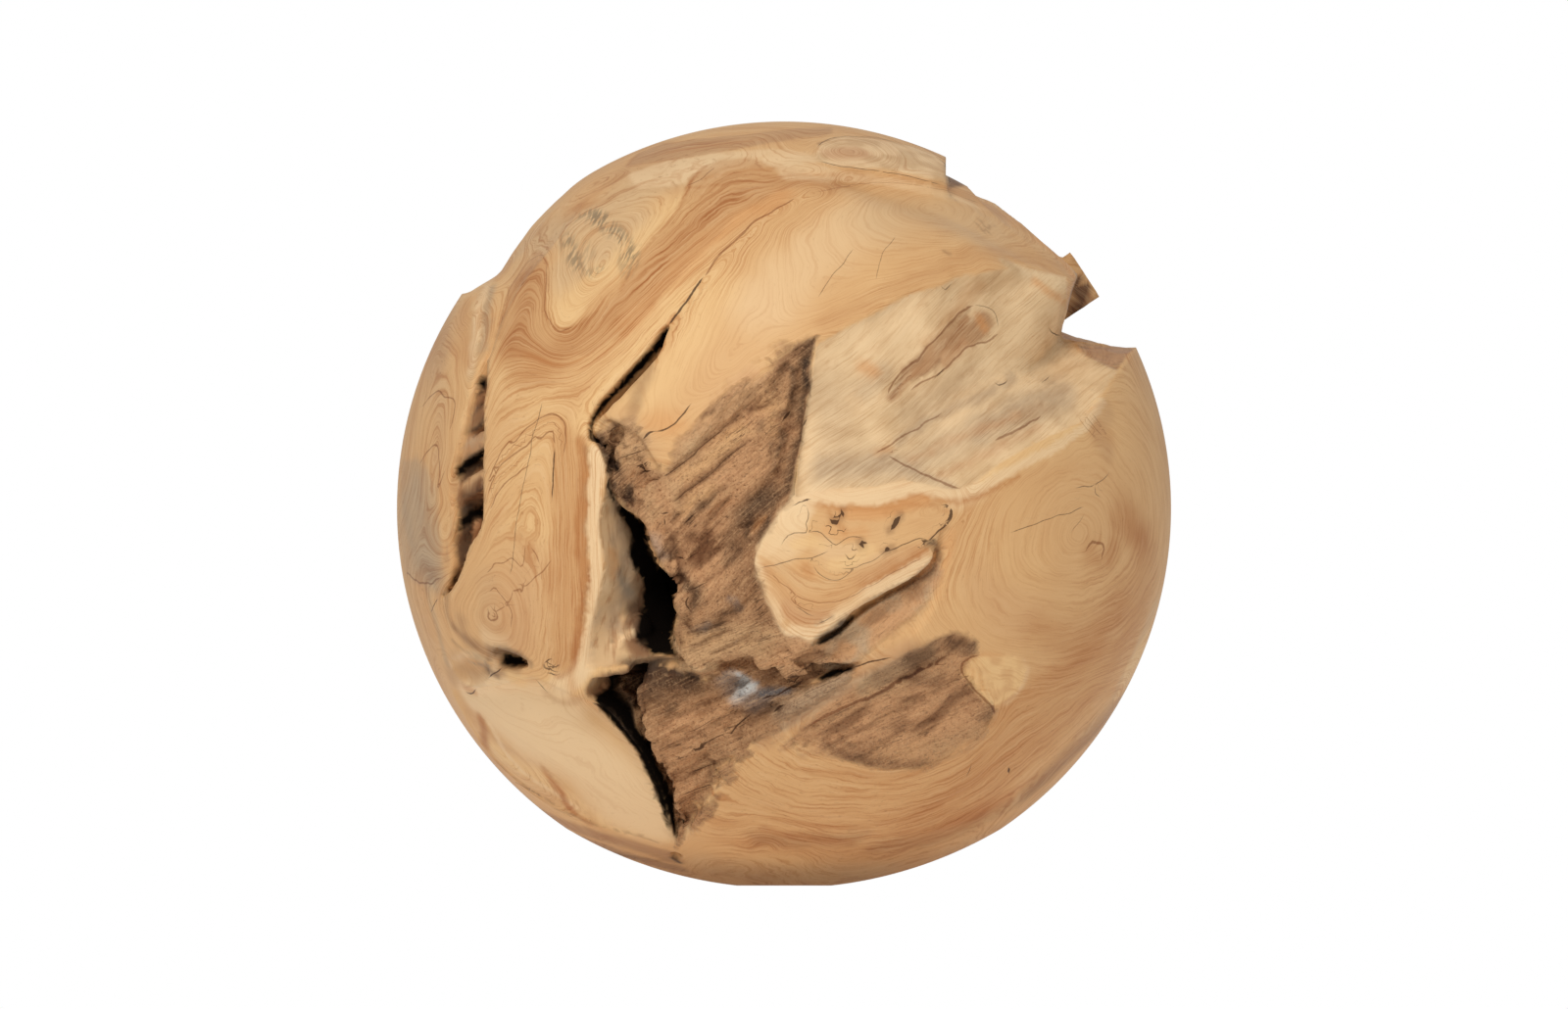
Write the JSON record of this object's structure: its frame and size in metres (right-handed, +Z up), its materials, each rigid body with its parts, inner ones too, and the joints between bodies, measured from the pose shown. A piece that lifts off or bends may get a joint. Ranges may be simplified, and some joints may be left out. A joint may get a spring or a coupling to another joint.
{
  "type": "wooden root ball",
  "caption": "Solid decorative ball turned from a piece of teak root, with natural clefts, a smooth root hollow and weathered heartwood left open.",
  "frame": {"origin": "the centre that the ball was turned about", "axes": "+Z up with the ball on its resting face, -Y towards the side with the clefts and the cut root stub"},
  "size_m": [0.395, 0.395, 0.39],
  "materials": {
    "teak": "sanded, unpolished teak root with raw brown heartwood in the hollows"
  },
  "bodies": {
    "root": {"root_ball": "teak"}
  },
  "joints": []
}
